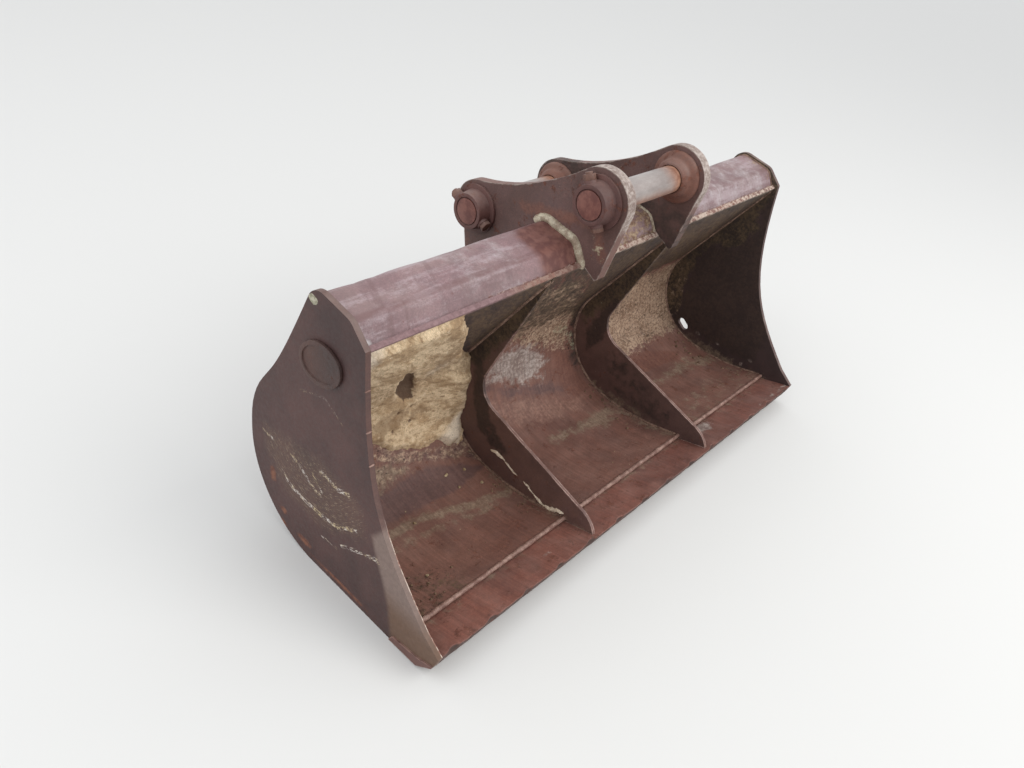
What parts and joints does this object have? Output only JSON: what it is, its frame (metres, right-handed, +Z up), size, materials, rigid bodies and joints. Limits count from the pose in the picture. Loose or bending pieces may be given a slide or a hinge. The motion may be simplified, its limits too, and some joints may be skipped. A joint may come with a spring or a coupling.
{
  "type": "excavator ditch-cleaning bucket",
  "caption": "Wide steel bucket with a bevelled cutting edge, ribbed inside, two pinned ears and a blank oval badge, for cleaning ditches and grading.",
  "frame": {"origin": "on the ground under the middle of the bucket, where it lies on its belly and on the shoes of its side plates", "axes": "+X across the bucket's width, -Y out of its mouth, +Z up"},
  "size_m": [2.008, 0.885, 1.0995],
  "materials": {
    "shell": "worn oxide paint, muddy",
    "edge": "rusty, worn bright at the lip",
    "side": "old oxide red paint, scratched",
    "beam": "dusty oxide red paint, dented",
    "rib": "worn oxide paint",
    "ear": "oxide red paint with worn rims",
    "pin": "bare steel, rusty at its ends",
    "collar": "oxide red paint, rusty",
    "bolt": "rusty",
    "badge": "painted over, blank"
  },
  "bodies": {
    "root": {"shell": "shell", "cutting_edge": "edge", "side_plate_left": "side", "side_plate_right": "side", "beam_cover_left": "beam", "beam_cover_centre": "beam", "beam_cover_right": "beam", "back_skin": "beam", "rib_left": "rib", "rib_right": "rib", "ear_left": "ear", "ear_right": "ear", "boss_front_left": "ear", "boss_front_right": "ear", "boss_rear_left": "ear", "boss_rear_right": "ear", "pin_front": "pin", "pin_rear": "pin", "collar_front_left": "collar", "collar_front_right": "collar", "collar_rear_left": "collar", "collar_rear_right": "collar", "bolt_front_left": "bolt", "bolt_front_right": "bolt", "bolt_rear_left": "bolt", "bolt_rear_right": "bolt", "badge": "badge"}
  },
  "joints": []
}
